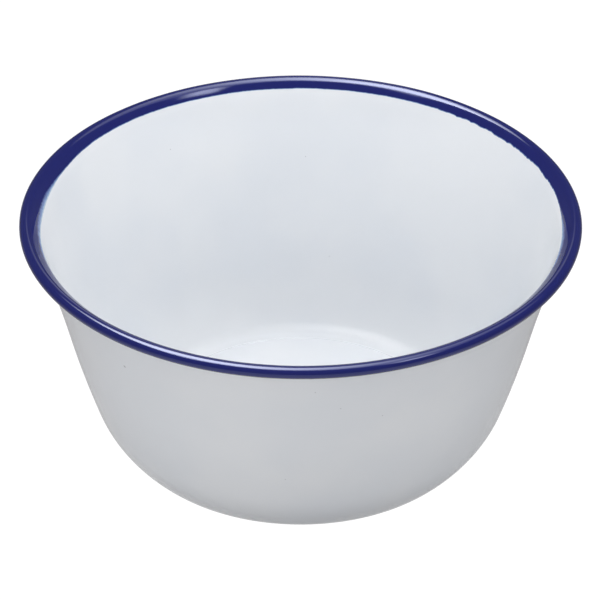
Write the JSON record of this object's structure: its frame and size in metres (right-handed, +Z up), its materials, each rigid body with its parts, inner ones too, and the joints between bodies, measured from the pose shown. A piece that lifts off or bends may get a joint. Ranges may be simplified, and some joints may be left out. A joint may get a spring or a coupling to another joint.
{
  "type": "enamel basin",
  "caption": "Round white enamelled steel basin with straight flaring sides, a soft-cornered base and a rolled blue rim.",
  "frame": {"origin": "middle of the base on the surface that the basin stands on", "axes": "+Z up along the basin's axis, +X to the right and +Y away from the viewer"},
  "size_m": [0.16, 0.16, 0.0742],
  "materials": {
    "sheet_steel": "pressed low-carbon sheet, pickled, hidden under enamel",
    "ground_enamel": "fired dark ground coat, shows only as pinhole specks and under the bead",
    "white_enamel": "gloss white vitreous enamel with faint orange peel",
    "blue_enamel": "gloss deep blue vitreous enamel, dipped edge"
  },
  "bodies": {
    "root": {"steel_body": "sheet_steel", "ground_coat": "ground_enamel", "white_coat": "white_enamel", "blue_rim": "blue_enamel"}
  },
  "joints": []
}
